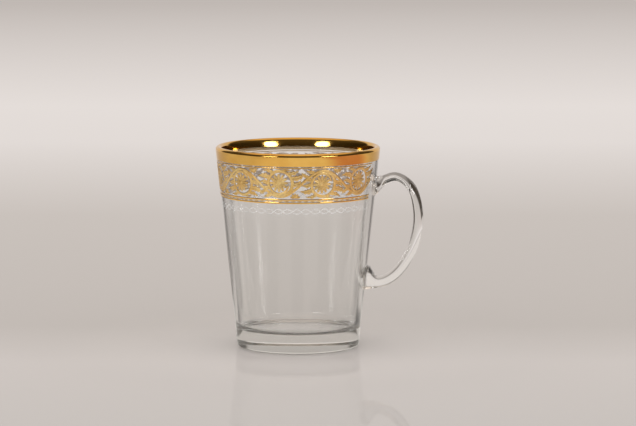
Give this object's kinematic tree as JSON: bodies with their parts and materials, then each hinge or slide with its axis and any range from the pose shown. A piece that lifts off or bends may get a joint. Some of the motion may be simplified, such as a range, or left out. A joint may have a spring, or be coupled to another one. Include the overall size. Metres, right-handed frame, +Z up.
{
  "type": "tea glass",
  "caption": "Clear glass tea mug: a tapered bowl on a thick heel, a loop handle, a gilt rim, a gilt scroll frieze between fine lines, and an etched border.",
  "frame": {"origin": "centre of the flat base, on the surface that the mug stands on, on the bowl's axis", "axes": "+Z up along the bowl's axis, +X towards the handle, +Y across"},
  "size_m": [0.1017, 0.081, 0.0985],
  "materials": {
    "clear_glass": "clear, fire polished",
    "bright_gold": "bright fired gold film",
    "satin_gold": "satin fired gold film",
    "etching": "frosted, etched"
  },
  "bodies": {
    "root": {"glass_bowl": "clear_glass", "handle": "clear_glass", "rim_gilding": "bright_gold", "fine_line": "bright_gold", "chain_line_upper": "bright_gold", "chain_beads": "satin_gold", "chain_line_lower": "bright_gold", "etched_border": "etching", "scroll_01": "satin_gold", "scroll_02": "satin_gold", "scroll_03": "satin_gold", "scroll_04": "satin_gold", "scroll_05": "satin_gold", "scroll_06": "satin_gold", "scroll_07": "satin_gold", "scroll_08": "satin_gold", "scroll_09": "satin_gold", "scroll_10": "satin_gold", "rosette_01": "satin_gold", "rosette_02": "satin_gold", "rosette_03": "satin_gold", "rosette_04": "satin_gold", "rosette_05": "satin_gold", "rosette_06": "satin_gold", "rosette_07": "satin_gold", "rosette_08": "satin_gold", "rosette_09": "satin_gold"}
  },
  "joints": []
}
